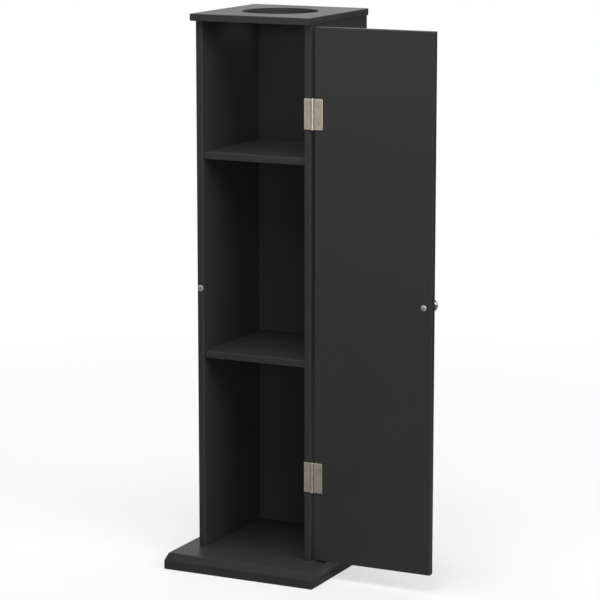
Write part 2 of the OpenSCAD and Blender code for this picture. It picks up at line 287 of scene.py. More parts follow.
# Mask of a box-shaped piece's edges, broken up by noise. On a face, the second smallest distance to
# the box's sides is the distance to the nearest edge.
def makeEdgeBand():
    group, given, result = newGroup(
        "edgeBand",
        [("Low", "NodeSocketVector", (0, 0, 0)), ("High", "NodeSocketVector", (1, 1, 1)),
         ("Width", "NodeSocketFloat", 0.002), ("Breakup", "NodeSocketFloat", 0.5)],
        ["Mask"])
    place = group.nodes.new("ShaderNodeTexCoord").outputs["Object"]
    nearest = vectorNode(group, "MINIMUM", vectorNode(group, "SUBTRACT", place, given.outputs["Low"]),
                         vectorNode(group, "SUBTRACT", given.outputs["High"], place))
    split = group.nodes.new("ShaderNodeSeparateXYZ")
    group.links.new(nearest, split.inputs[0])
    x, y, z = split.outputs
    second = mathNode(group, "MAXIMUM", mathNode(group, "MINIMUM", x, y),
                      mathNode(group, "MINIMUM", mathNode(group, "MAXIMUM", x, y), z))
    noise = noiseNode(group, place, noiseScale["edge"], *noiseGrain["edge"])
    ragged = mathNode(group, "MULTIPLY", mathNode(group, "SUBTRACT", noise, 0.5),
                      mathNode(group, "MULTIPLY", given.outputs["Breakup"], given.outputs["Width"]))
    reach = mathNode(group, "ADD", second, ragged)
    mask = rangeNode(group, reach, 0.0, given.outputs["Width"], 1.0, 0.0)
    group.links.new(mask, result.inputs["Mask"])
    return group


# Sprayed finish: slow waves of sheen, a fine orange peel as height, and sparse specks
def makeSprayedSkin():
    group, given, result = newGroup(
        "sprayedSkin",
        [("Peel Scale", "NodeSocketFloat", 900.0), ("Cloud Scale", "NodeSocketFloat", 9.0)],
        ["Cloud", "Height", "Speck"])
    place = group.nodes.new("ShaderNodeTexCoord").outputs["Object"]
    cloud = noiseNode(group, place, given.outputs["Cloud Scale"], *noiseGrain["cloud"])
    peel = noiseNode(group, place, given.outputs["Peel Scale"], *noiseGrain["peel"])
    coarseScale = mathNode(group, "MULTIPLY", given.outputs["Peel Scale"], noiseScale["coarsePeel"])
    coarse = noiseNode(group, place, coarseScale, *noiseGrain["coarsePeel"])
    height = mathNode(group, "ADD", mathNode(group, "MULTIPLY", peel, peelMix["fine"]),
                      mathNode(group, "MULTIPLY", coarse, peelMix["coarse"]))
    dots = group.nodes.new("ShaderNodeTexVoronoi")
    dots.inputs["Scale"].default_value = noiseScale["dots"]
    group.links.new(place, dots.inputs["Vector"])
    speck = rangeNode(group, dots.outputs["Distance"], *spans["dots"], 1.0, 0.0)
    patches = noiseNode(group, place, noiseScale["dotPatches"], *noiseGrain["dotPatches"])
    rare = rangeNode(group, patches, *spans["dotPatches"], 0.0, 1.0)
    group.links.new(cloud, result.inputs["Cloud"])
    group.links.new(height, result.inputs["Height"])
    group.links.new(mathNode(group, "MULTIPLY", speck, rare), result.inputs["Speck"])
    return group


# Thin dust that settles on what faces up
def makeDust():
    group, given, result = newGroup("settledDust", [("Amount", "NodeSocketFloat", 0.3)], ["Mask"])
    place = group.nodes.new("ShaderNodeTexCoord").outputs["Object"]
    facing = group.nodes.new("ShaderNodeSeparateXYZ")
    group.links.new(group.nodes.new("ShaderNodeNewGeometry").outputs["Normal"], facing.inputs[0])
    upward = rangeNode(group, facing.outputs["Z"], *spans["facingUp"], 0.0, 1.0)
    clouds = noiseNode(group, place, noiseScale["dust"], *noiseGrain["dust"])
    drift = rangeNode(group, clouds, *spans["dust"], 0.0, 1.0)
    mask = mathNode(group, "MULTIPLY", mathNode(group, "MULTIPLY", upward, drift), given.outputs["Amount"])
    group.links.new(mask, result.inputs["Mask"])
    return group


# Fine lines, which are noise drawn out along the grain, and softer patches
def makeDrawnLines():
    group, given, result = newGroup(
        "drawnLines",
        [("Stretch", "NodeSocketVector", (1, 1, 1)), ("Scale", "NodeSocketFloat", 2500.0)],
        ["Lines", "Patches"])
    place = group.nodes.new("ShaderNodeTexCoord").outputs["Object"]
    squeezed = vectorNode(group, "MULTIPLY", place, given.outputs["Stretch"])
    lines = noiseNode(group, squeezed, given.outputs["Scale"], *noiseGrain["lines"])
    patches = noiseNode(group, place, noiseScale["patches"], *noiseGrain["patches"])
    group.links.new(lines, result.inputs["Lines"])
    group.links.new(patches, result.inputs["Patches"])
    return group


edgeBand, sprayedSkin = makeEdgeBand(), makeSprayedSkin()
settledDust, drawnLines = makeDust(), makeDrawnLines()
print("shader groups ready")


def newMaterial(name):
    material = bpy.data.materials.new(name)
    material.use_nodes = True
    tree = material.node_tree
    return material, tree, tree.nodes["Principled BSDF"]


def useGroup(tree, group, **values):
    node = tree.nodes.new("ShaderNodeGroup")
    node.node_tree = group
    for label, value in values.items():
        node.inputs[label.replace("_", " ")].default_value = value
    return node


def mixColours(tree, factor, low, high):
    mix = tree.nodes.new("ShaderNodeMix")
    mix.data_type = "RGBA"
    tree.links.new(factor, mix.inputs["Factor"])
    for socket, colour in ((mix.inputs[6], low), (mix.inputs[7], high)):
        setOrLink(tree, socket, colour if hasattr(colour, "links") else (*colour, 1))
    return mix.outputs[2]


def addBump(tree, shader, height, strength, distance):
    bump = tree.nodes.new("ShaderNodeBump")
    bump.inputs["Strength"].default_value = strength
    bump.inputs["Distance"].default_value = distance
    tree.links.new(height, bump.inputs["Height"])
    tree.links.new(bump.outputs["Normal"], shader.inputs["Normal"])


paintLook = {
    "colour": (0.0300, 0.0300, 0.0306),
    "thinColour": (0.0342, 0.0342, 0.0348),
    "edgeColour": (0.050, 0.050, 0.051),
    "dustColour": (0.085, 0.083, 0.080),
    "sheen": (0.31, 0.38),  # roughness, lowest and highest
    "gloss": 1.13,  # index of refraction of the paint
    "peelScale": 900.0,
    "peelStrength": 0.25,
    "peelHeight": 0.00006,
    "cloudScale": 9.0,
    "edgeWidth": 0.0014,
    "edgeBreakup": 1.2,
    "edgeBand": 0.55,  # how much of the edge's colour shows at most
    "specks": 0.5,
    "dust": 0.10,
    "dustDulls": 0.35,  # roughness that the dust adds
}


# One paint for each board, because the edge mask needs that board's own box
def boardPaint(name, low, high):
    look = paintLook
    material, tree, shader = newMaterial("paint_" + name)
    skin = useGroup(tree, sprayedSkin, Peel_Scale=look["peelScale"], Cloud_Scale=look["cloudScale"])
    edge = useGroup(tree, edgeBand, Low=tuple(low), High=tuple(high), Width=look["edgeWidth"],
                    Breakup=look["edgeBreakup"])
    dust = useGroup(tree, settledDust, Amount=look["dust"])
    base = mixColours(tree, skin.outputs["Cloud"], look["colour"], look["thinColour"])
    rubbed = mathNode(tree, "MULTIPLY", edge.outputs["Mask"], look["edgeBand"])
    worn = mixColours(tree, rubbed, base, look["edgeColour"])
    dotted = mathNode(tree, "MULTIPLY", skin.outputs["Speck"], look["specks"])
    specked = mixColours(tree, dotted, worn, look["edgeColour"])
    dusty = mixColours(tree, dust.outputs["Mask"], specked, look["dustColour"])
    tree.links.new(dusty, shader.inputs["Base Color"])
    waves = rangeNode(tree, skin.outputs["Cloud"], *spans["waves"], *look["sheen"])
    dulled = mathNode(tree, "MULTIPLY", dust.outputs["Mask"], look["dustDulls"])
    tree.links.new(mathNode(tree, "ADD", waves, dulled, clamp=True), shader.inputs["Roughness"])
    shader.inputs["IOR"].default_value = look["gloss"]
    addBump(tree, shader, skin.outputs["Height"], look["peelStrength"], look["peelHeight"])
    return material


metalLines = {"scale": 2500.0, "strength": 0.25, "height": 0.00002}

# Colour, colour of the duller patches, lowest and highest roughness, and the stretch of the drawn
# lines, which run along the axis that it makes small
metalLooks = {
    "screw_nickel": ((0.36, 0.325, 0.285), (0.28, 0.25, 0.22), (0.28, 0.42), (1, 1, 1)),
    "pin_steel": ((0.34, 0.31, 0.28), (0.26, 0.24, 0.21), (0.25, 0.40), (0.1, 0.1, 1)),
    "zinc_steel": ((0.35, 0.35, 0.345), (0.26, 0.26, 0.26), (0.30, 0.48), (1, 1, 1)),
    "sleeve_steel": ((0.42, 0.41, 0.39), (0.32, 0.31, 0.29), (0.20, 0.34), (1, 1, 1)),
    "magnet_nickel": ((0.22, 0.22, 0.22), (0.15, 0.15, 0.15), (0.35, 0.50), (1, 1, 1)),
    "knob_steel": ((0.35, 0.35, 0.36), (0.25, 0.25, 0.26), (0.20, 0.32), (1, 0.05, 1)),
}
leafLook = ((0.374, 0.333, 0.282), (0.308, 0.273, 0.230), (0.30, 0.46), (1, 1, 0.06))
# Along a leaf's edges: a lighter colour that is a painted highlight, and a lower roughness
rimHighlightLook = {"colour": (0.56, 0.51, 0.45), "roughness": 0.24, "width": 0.0010, "breakup": 0.5}
beechLook = {
    "dark": (0.50, 0.35, 0.20),
    "light": (0.66, 0.50, 0.31),
    "roughness": (0.55, 0.75),
    "grainScale": 900.0,
    "stretch": (1, 1, 0.08),
    "bumpStrength": 0.3,
    "bumpHeight": 0.00005,
}


def startMetal(name, colour, darkColour, roughness, stretch):
    material, tree, shader = newMaterial(name)
    drawn = useGroup(tree, drawnLines, Stretch=stretch, Scale=metalLines["scale"])
    blotch = rangeNode(tree, drawn.outputs["Patches"], *spans["patches"], 0.0, 1.0)
    tint = mixColours(tree, blotch, colour, darkColour)
    dullness = rangeNode(tree, drawn.outputs["Lines"], *spans["lines"], *roughness)
    shader.inputs["Metallic"].default_value = 1.0
    addBump(tree, shader, drawn.outputs["Lines"], metalLines["strength"], metalLines["height"])
    return material, tree, shader, tint, dullness


def drawnMetal(name, look):
    material, tree, shader, tint, dullness = startMetal(name, *look)
    tree.links.new(tint, shader.inputs["Base Color"])
    tree.links.new(dullness, shader.inputs["Roughness"])
    return material


# Satin nickel of one hinge leaf, painted lighter along the leaf's own edges as a painted highlight, where its
# finish is also smoother
def leafNickel(name, low, high):
    material, tree, shader, tint, dullness = startMetal(name, *leafLook)
    rim = useGroup(tree, edgeBand, Low=tuple(low), High=tuple(high), Width=rimHighlightLook["width"],
                   Breakup=rimHighlightLook["breakup"])
    # the lighter colour on the rim is a painted highlight
    tint = mixColours(tree, rim.outputs["Mask"], tint, rimHighlightLook["colour"])
    tree.links.new(tint, shader.inputs["Base Color"])
    burnished = rangeNode(tree, rim.outputs["Mask"], 0.0, 1.0, dullness, rimHighlightLook["roughness"])
    tree.links.new(burnished, shader.inputs["Roughness"])
    return material


def beechWood():
    look = beechLook
    material, tree, shader = newMaterial("raw_beech")
    drawn = useGroup(tree, drawnLines, Stretch=look["stretch"], Scale=look["grainScale"])
    grain = mixColours(tree, drawn.outputs["Lines"], look["dark"], look["light"])
    tree.links.new(grain, shader.inputs["Base Color"])
    dullness = rangeNode(tree, drawn.outputs["Patches"], *spans["lines"], *look["roughness"])
    tree.links.new(dullness, shader.inputs["Roughness"])
    addBump(tree, shader, drawn.outputs["Lines"], look["bumpStrength"], look["bumpHeight"])
    return material


metals = {name: drawnMetal(name, look) for name, look in metalLooks.items()}
beech = beechWood()
print("materials ready")


hingeShape = {
    "knuckles": 5,
    "knuckleRadius": 0.00225,
    "knuckleGap": 0.0003,
    "knuckleEase": 0.00015,  # rounding of a knuckle's ends
    "bore": 0.00125,
    "pinRadius": 0.0012,
    "leaf": 0.0010,  # thickness
    "leafGap": 0.0003,  # between the two leaves when they lie on each other
    "farCorner": 0.0020,  # corner radius of the door's leaf
    "rim": 0.00045,  # rounding round a leaf's face
    "screwSpread": 0.0115,  # from the middle of the leaf's height
    "frameScrew": 0.0045,  # from the leaf's far edge
    "doorScrew": 0.0055,
    "screwMouth": 0.0022,
    "screwHole": 0.0013,
    "cornerSteps": 8,
    "rimSteps": 4,
    "easeSteps": 3,
    "sides": 48,
    "holeSides": 40,
    "pinSides": 40,
    "near": 1e-6,  # how close an edge lies to the place that it is picked by
}

hingeScrew = {"shank": 0.0012, "core": 0.0009, "head": 0.0021, "pitch": 0.0010, "recess": 0.0021}
baseScrew = {
    "shank": 0.00175,
    "core": 0.00125,  # radius at the foot of the thread
    "head": 0.0035,
    "pitch": 0.0018,
    "recess": 0.0038,  # how far the cross reaches
    "sink": 0.0008,  # how deep the head sits
    "slack": 0.0003,
}
knobScrew = {
    "shank": 0.0020,
    "core": 0.00165,
    "pitch": 0.0007,
    "recess": 0.0036,
    "rim": 0.00035,
    "slack": 0.0002,
    "tip": 0.8,  # blunt end, beside the core's radius
    "point": 0.0005,
    "plain": 0.35,  # share of the length without a thread
    "fullShank": 0.9,  # share of that which has the shank's full radius
    "domeSteps": (0, 12, 25, 40, 55, 68, 78, 86),  # degrees from the rim to the head's middle
    "sides": 56,
}
dowelShape = {
    "radius": 0.0025,
    "length": 0.0200,
    "flutes": 14,
    "fluteDepth": 0.00012,
    "fluteEdge": 0.0001,
    "taper": 0.0008,
}
dowelNodes = {"base_dowels": up, "top_dowels": up, "shelf_dowels": right}
catchShape = {
    "barrel": 0.0030,
    "flange": 0.0009,
    "rim": 0.0003,
    "magnet": 0.0023,
    "slack": 0.00002,
    "sink": 0.0002,
    "magnetLength": 0.0050,
    "magnetEase": 0.00015,
    "easeSteps": 3,
    "sleeveSides": 64,
    "magnetSides": 48,
}


# Feet of a node's like rods, which stand at the corners of its box. Along a side that is too short
# for two there is one, in the middle.
def rodFeet(node, way, radius, length):
    low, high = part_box(node)
    places = []
    for axis in range(3):
        near, far = (0, length) if abs(way[axis]) > along else (radius, radius)
        first, last = low[axis] + near, high[axis] - far
        places.append([first, last] if last - first > length else [(first + last) / 2])
    return [Vector(foot) for foot in itertools.product(*places)]


def dowelFeet(node):
    return rodFeet(node, dowelNodes[node], dowelShape["radius"], dowelShape["length"])


def baseScrewFeet():
    low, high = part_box("base_screws")
    return rodFeet("base_screws", up, baseScrew["head"], high.z - low.z)


# Two screws in each hinge leaf. Side is 1 where the leaf lies to the right of its knuckles.
def leafScrewFeet(node, leafName, side, fromEdge):
    y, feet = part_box(node)[0].y, []
    for hinge in ("upper_hinge", "lower_hinge"):
        low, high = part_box(hinge + leafName)
        x = (high.x if side > 0 else low.x) - side * fromEdge
        middle, spread = (low.z + high.z) / 2, hingeShape["screwSpread"]
        feet += [Vector((x, y, middle - spread)), Vector((x, y, middle + spread))]
    return feet


leafScrews = {
    "hinge_frame_screws": ("_frame_leaf", -1, hingeShape["frameScrew"]),
    "hinge_door_screws": ("_door_leaf", 1, hingeShape["doorScrew"]),
}
drillShape = {"fit": 0.00002, "air": 0.0005, "sides": 32}  # slack on the radius, room at the end


# Middle of a node's front face
def frontMiddle(node):
    low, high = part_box(node)
    return Vector(((low.x + high.x) / 2, low.y, (low.z + high.z) / 2))


# Every hole that is bored for a dowel, a screw or the catch: foot, way, radius and length
def makeHoleList():
    fit, air = drillShape["fit"], drillShape["air"]
    holes = []
    for node, way in dowelNodes.items():
        length = dowelShape["length"] + 2 * air
        holes += [(foot - way * air, way, dowelShape["radius"] + fit, length) for foot in dowelFeet(node)]
    baseTop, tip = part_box("base_board")[1].z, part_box("base_screws")[1].z
    for foot in baseScrewFeet():
        holes.append((Vector((foot.x, foot.y, baseTop)), up, baseScrew["shank"] + fit, tip + air - baseTop))
    for node, (leafName, side, fromEdge) in leafScrews.items():
        low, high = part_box(node)
        feet = leafScrewFeet(node, leafName, side, fromEdge)
        holes += [(foot, back, hingeScrew["shank"] + fit, high.y - low.y + air) for foot in feet]
    low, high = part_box("magnet_sleeve")
    holes.append((frontMiddle("magnet_sleeve"), back, catchShape["barrel"] + fit, high.y - low.y + air))
    low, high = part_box("knob_screw")
    holes.append((frontMiddle("knob_screw"), back, knobScrew["shank"] + knobScrew["slack"], high.y - low.y))
    return holes


holeList = makeHoleList()


# Only the holes whose middle line comes into the piece's box are cut
def drill(piece, low, high):
    for foot, way, radius, length in holeList:
        reaches = zip(foot, foot + way * length, low, high)
        if all(min(start, end) < most and max(start, end) > least for start, end, least, most in reaches):
            combine(piece, addRod("drill", foot, way, radius, length, drillShape["sides"]))


boardShape = {
    "round": 0.0010,  # radius of the eased edges
    "segments": 3,
    "holeRadius": 0.048,
    "holeSides": 128,
    "past": 0.002,  # how far a cut runs past the face it opens on
}


def finishBoard(piece, node, low, high, body="cabinet"):
    roundEdges(piece, boardShape["round"], boardShape["segments"])
    drill(piece, low, high)
    smooth(piece)
    settle(piece, body, "board_paint", boardPaint(node, low, high), node)


def makeSidePanels():
    past = boardShape["past"]
    backLow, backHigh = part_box("back_panel")
    for node in ("left_side_panel", "right_side_panel"):
        low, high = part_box(node)
        piece = addBox(node + "_painted", low, high)
        # the groove that the back panel slides into
        grooveLow, grooveHigh = (backLow.x, backLow.y, low.z - past), (backHigh.x, backHigh.y, high.z + past)
        combine(piece, addBox("groove", grooveLow, grooveHigh))
        finishBoard(piece, node, low, high)


def makePlainBoards():
    for node, body in (("upper_shelf", "cabinet"), ("lower_shelf", "cabinet"), ("door_panel", "door")):
        low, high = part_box(node)
        finishBoard(addBox(node + "_painted", low, high), node, low, high, body)


def makeTopBoard():
    shape = boardShape
    low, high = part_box("top_board")
    piece = addBox("top_board_painted", low, high)
    under = Vector(((low.x + high.x) / 2, (low.y + high.y) / 2, low.z - shape["past"]))
    length = high.z - low.z + 2 * shape["past"]
    combine(piece, addRod("holeCutter", under, up, shape["holeRadius"], length, shape["holeSides"]))
    finishBoard(piece, "top_board", low, high)


baseShape = {
    "bevelHeight": 0.0096,
    "bevelIn": 0.0045,
    "soft": 0.0009,  # rounding where the bevel meets the flats
    "softSteps": 4,
    "softAngle": 18,  # degrees, the least bend that is rounded
    "smoothAngle": 40,
}


def makeBaseBoard():
    low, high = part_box("base_board")
    shape = baseShape
    piece = addBox("base_board_painted", low, (high.x, high.y, high.z - shape["bevelHeight"]))
    edit(piece, "FACE")
    pickFaces(piece, lambda centre, normal: normal.z > along)
    bpy.ops.mesh.extrude_region_move(TRANSFORM_OT_translate={"value": up * shape["bevelHeight"]})
    width, depth = high.x - low.x, high.y - low.y
    shrink = ((width - 2 * shape["bevelIn"]) / width, (depth - shape["bevelIn"]) / depth, 1)
    bpy.ops.transform.resize(value=shrink, center_override=(0, high.y, high.z))
    leaveEdit()
    roundEdges(piece, shape["soft"], shape["softSteps"], shape["softAngle"])
    for foot in baseScrewFeet():
        combine(piece, screwWay((foot.x, foot.y, 0)))
    drill(piece, low, high)
    smooth(piece, shape["smoothAngle"])
    settle(piece, "cabinet", "board_paint", boardPaint("base_board", low, high), "base_board")


# Clearance hole with a countersink, cut from beneath
def screwWay(place):
    hole = baseScrew["shank"] + baseScrew["slack"]
    mouth = baseScrew["head"] + baseScrew["sink"]
    past = boardShape["past"]
    rings = [(mouth + past, -past), (hole, mouth - hole), (hole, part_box("base_board")[1].z + past)]
    return turnPiece("screwWay", place, up, rings, drillShape["sides"])


def paintBackPanel():
    low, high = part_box("back_panel")
    paint = boardPaint("back_panel", low, high)
    for panelSlot in nodes["back_panel"].material_slots:
        panelSlot.material = paint


makeSidePanels()
makePlainBoards()
makeTopBoard()
makeBaseBoard()
paintBackPanel()
print("boards done")


# The flat part of a leaf. Its face is rounded on every side but the knuckles' one.
def leafPlate(name, low, high, axisX, farX, corner):
    shape = hingeShape
    faceY, near = low[1], shape["near"]
    leaf = addBox(name, low, high)
    if corner:
        edit(leaf, "EDGE")
        pickEdges(leaf, lambda middle, way: abs(way.y) > along and abs(middle.x - farX) < near)
        bpy.ops.mesh.bevel(offset=corner, segments=shape["cornerSteps"])
        leaveEdit()
    edit(leaf, "EDGE")
    pickEdges(leaf, lambda middle, way: abs(middle.y - faceY) < near < abs(middle.x - axisX))
    bpy.ops.mesh.bevel(offset=shape["rim"], segments=shape["rimSteps"])
    leaveEdit()
    return leaf


# Every second knuckle from the first is this leaf's own, and room is cut for the other leaf's
def rollKnuckles(leaf, foot, height, first):
    shape = hingeShape
    radius, gap = shape["knuckleRadius"], shape["knuckleGap"]
    length = (height - (shape["knuckles"] - 1) * gap) / shape["knuckles"]
    clear = Vector((radius + gap, radius + gap, 0))
    for index in range(1 - first, shape["knuckles"], 2):
        start = foot + up * (index * (length + gap) - gap)
        combine(leaf, addBox("notch", start - clear, start + clear + up * (length + 2 * gap)))
    ease = roundOff(radius, length, shape["knuckleEase"], shape["easeSteps"])
    rings = [(r, length - z) for r, z in reversed(ease)] + ease
    for index in range(first, shape["knuckles"], 2):
        start = foot + up * (index * (length + gap))
        combine(leaf, turnPiece("knuckle", start, up, rings, shape["sides"]), "UNION")
    combine(leaf, addRod("bore", foot - up * gap, up, shape["bore"], height + 2 * gap))


# One leaf of a butt hinge, to the right of its knuckles where side is 1, else to the left
def makeLeaf(node, body, side, first, corner, screwFromEdge):
    shape = hingeShape
    low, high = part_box(node)
    radius, gap, thick = shape["knuckleRadius"], shape["knuckleGap"], shape["leaf"]
    axisX = low.x + radius if side > 0 else high.x - radius
    axisY = low.y + radius
    farX = high.x if side > 0 else low.x
    faceY = axisY + shape["leafGap"] / 2
    nickel = leafNickel("nickel_" + node, (low.x, faceY, low.z), (high.x, faceY + thick, high.z))
    plateLow, plateHigh = (min(axisX, farX), faceY, low.z), (max(axisX, farX), faceY + thick, high.z)
    leaf = leafPlate(node + "_nickel", plateLow, plateHigh, axisX, farX, corner)
    rollKnuckles(leaf, Vector((axisX, axisY, low.z)), high.z - low.z, first)
    # the rolled end of the sheet stops just short of the leaf's face
    seamEnd = axisX + side * (radius + gap)
    seamLow, seamHigh = (min(axisX, seamEnd), axisY, low.z - gap), (max(axisX, seamEnd), faceY, high.z + gap)
    combine(leaf, addBox("seam", seamLow, seamHigh))
    mouth, hole = shape["screwMouth"], shape["screwHole"]
    rings = [(mouth + gap, -gap), (hole, mouth - hole), (hole, 2 * thick)]
    for step in (-1, 1):
        place = (farX - side * screwFromEdge, faceY, (low.z + high.z) / 2 + step * shape["screwSpread"])
        combine(leaf, turnPiece("countersink", place, back, rings, shape["holeSides"]))
    smooth(leaf)
    settle(leaf, body, "hinge_nickel", nickel, node)


def makePin(node, half):
    low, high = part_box(node)
    middle, radius = (low + high) / 2, hingeShape["pinRadius"]
    dome = high.z - middle.z - half
    rivet = roundOff(high.x - middle.x, half + dome, dome)
    rings = [(r, -z) for r, z in reversed(rivet)] + [(radius, -half), (radius, half)] + rivet
    pin = turnPiece(node + "_steel", middle, up, rings, hingeShape["pinSides"])
    smooth(pin)
    settle(pin, "cabinet", "pin_steel", metals["pin_steel"], node)


for hinge in ("upper_hinge", "lower_hinge"):
    makeLeaf(hinge + "_frame_leaf", "cabinet", -1, 0, 0, hingeShape["frameScrew"])
    makeLeaf(hinge + "_door_leaf", "door", 1, 1, hingeShape["farCorner"], hingeShape["doorScrew"])
    leafLow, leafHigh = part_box(hinge + "_door_leaf")
    makePin(hinge + "_pin", (leafHigh.z - leafLow.z) / 2)
print("hinges done")


threadShape = {
    "root": 0.8,  # the ridge's root, beside the core's radius
    "steps": 24,  # in one turn
    "clear": 1.03,  # the limit beside the crest, so that only the thread's two ends are cut
    "limitTip": 0.2,  # beside the crest's radius
    "limitTop": 0.9,  # beside the core's radius
    "limitSides": 44,
}
screwShape = {
    "tip": 0.1,  # blunt end, beside the shank's radius
    "point": 2,  # length of the point, beside the shank's radius
    "plain": 0.25,  # share of the length without a thread
    "mostPlain": 4,  # and its limit, beside the shank's radius
    "fullShank": 0.8,  # share of that which has the shank's full radius
    "bead": 0.06,  # rounding of the head's rim, beside the head's radius
    "sides": 40,
}
crossTwists = {  # degrees that each screw's cross is turned
    "hinge_frame_screws": (20, 65, 40, 5),
    "hinge_door_screws": (50, 10, 30, 75),
    "base_screws": (15, 70, 35, 55),
    "knob_screw": (28,),
}
crossShape = {"width": 0.24, "depth": 0.42, "floor": 0.5}  # beside its reach, the floor beside its mouth


# A ridge round the screw: a three-sided ring drawn along in a helix, cut to the screw's outline
def addThread(screw, size, top, length, pointLength):
    core, crest, pitch, steps = size["core"], size["shank"], size["pitch"], threadShape["steps"]
    bpy.ops.object.select_all(action="DESELECT")
    bpy.ops.mesh.primitive_circle_add(vertices=3, radius=pitch / 2, rotation=(math.pi / 2, math.pi / 2, 0))
    thread = bpy.context.object
    fixPlace(thread)
    root = threadShape["root"] * core
    depth = crest - root
    # the ring is three quarters of the pitch across, and its middle a third of that from its root
    thread.scale = (depth / (0.75 * pitch), 1, 1)
    thread.location = (root + depth / 3, 0, -length - pitch)
    fixPlace(thread)
    applyNew(thread, "SCREW", axis="Z", angle=2 * math.pi, steps=steps, render_steps=steps,
             screw_offset=pitch, iterations=int((top + length) / pitch) + 1, use_merge_vertices=False)
    edit(thread, "EDGE")
    bpy.ops.mesh.select_non_manifold()
    bpy.ops.mesh.edge_face_add()
    bpy.ops.mesh.select_all(action="SELECT")
    bpy.ops.mesh.normals_make_consistent(inside=False)
    leaveEdit()
    clear = threadShape["clear"] * crest
    rings = [(threadShape["limitTip"] * crest, -length), (clear, pointLength - length),
             (clear, top - pitch / 2), (threadShape["limitTop"] * core, top)]
    combine(thread, turnPiece("limit", (0, 0, 0), up, rings, threadShape["limitSides"]), "INTERSECT")
    combine(screw, thread, "UNION")


# Recess for a cross-head driver, sunk from the given height
def cutCross(screw, reach, top):
    width, depth, floor = crossShape["width"] * reach, crossShape["depth"] * reach, crossShape["floor"]
    for sizeX, sizeY in ((reach, width), (width, reach)):
        bar = addBox("bar", (-sizeX / 2, -sizeY / 2, top - depth), (sizeX / 2, sizeY / 2, top + depth))
        edit(bar, "FACE")
        pickFaces(bar, lambda centre, normal: normal.z < -along)
        bpy.ops.transform.resize(value=(floor, floor, 1), center_override=(0, 0, top - depth))
        leaveEdit()
        combine(screw, bar)


# Countersunk wood screw, its face at the origin and its point down
def woodScrew(name, size, length):
    shape = screwShape
    shank, core, head = size["shank"], size["core"], size["head"]
    neck, point, bead = head - shank, shape["point"] * shank, shape["bead"] * head
    plain = min(shape["plain"] * length, shape["mostPlain"] * shank)
    threadTop = -neck - shape["fullShank"] * plain
    rings = [(shape["tip"] * shank, -length), (core, point - length), (core, -neck - plain),
             (shank, threadTop), (shank, -neck), (head - bead, -bead), (head - 0.3 * bead, -0.5 * bead),
             (head - bead, 0)]
    screw = turnPiece(name, (0, 0, 0), up, rings, shape["sides"])
    addThread(screw, size, threadTop, length, point)
    cutCross(screw, size["recess"], 0)
    return screw


# Cut into triangles first, so that no long face of the thread folds onto its neighbour
def smoothScrew(screw):
    edit(screw, "FACE")
    bpy.ops.mesh.select_all(action="SELECT")
    bpy.ops.mesh.quads_convert_to_tris()
    leaveEdit()
    smooth(screw)


def makeHingeScrews():
    for node, body in (("hinge_frame_screws", "cabinet"), ("hinge_door_screws", "door")):
        low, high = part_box(node)
        model = woodScrew(node + "_model", hingeScrew, high.y - low.y)
        feet = leafScrewFeet(node, *leafScrews[node])
        spots = [(foot, front, twist) for foot, twist in zip(feet, crossTwists[node])]
        screws = copyTo(model, node + "_nickel", spots)
        smoothScrew(screws)
        settle(screws, body, "hinge_screw_nickel", metals["screw_nickel"], node)


def makeBaseScrews():
    low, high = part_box("base_screws")
    model = woodScrew("base_screw_model", baseScrew, high.z - low.z)
    spots = [(foot, down, twist) for foot, twist in zip(baseScrewFeet(), crossTwists["base_screws"])]
    screws = copyTo(model, "base_screws_zinc", spots)
    smoothScrew(screws)
    settle(screws, "cabinet", "screw_steel", metals["zinc_steel"], "base_screws")


def makeKnobScrew():
    size = knobScrew
    low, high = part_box("knob_screw")
    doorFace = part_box("door_panel")[0].y
    middle = (low + high) / 2
    head, proud, length = (high.x - low.x) / 2, doorFace - low.y, high.y - doorFace
    rise = proud - size["rim"]
    dome = [(head * math.cos(a), size["rim"] + rise * math.sin(a))
            for a in map(math.radians, size["domeSteps"])]
    plain = size["plain"] * length
    threadTop = -size["fullShank"] * plain
    rings = [(size["tip"] * size["core"], -length), (size["core"], size["point"] - length),
             (size["core"], -plain), (size["shank"], threadTop), (size["shank"], 0), (head, 0)] + dome
    model = turnPiece("knob_screw_model", (0, 0, 0), up, rings, size["sides"])
    addThread(model, size, threadTop, length, size["pitch"])
    cutCross(model, size["recess"], proud)
    seat, twist = Vector((middle.x, doorFace, middle.z)), crossTwists["knob_screw"][0]
    screw = copyTo(model, "knob_screw_zinc", [(seat, front, twist)])
    smoothScrew(screw)
    settle(screw, "door", "screw_steel", metals["zinc_steel"], "knob_screw")


makeHingeScrews()
makeBaseScrews()
makeKnobScrew()
print("screws done")


knobShape = {
    "bore": 0.00202,
    "boreDepth": 0.0095,
    "foot": 0.0048,
    "footHeight": 0.0016,
    "footEase": 0.0005,
    "footSteps": 4,
    "neck": 0.0039,
    "neckEnd": 0.0050,  # where the neck starts to flare
    "rimFromTop": 0.0040,
    "rimRound": 0.0009,
    "rimSteps": range(-60, 61, 15),  # degrees
    "steps": 14,
    "tip": 0.0001,
    "sides": 96,
    "smoothAngle": 40,
}


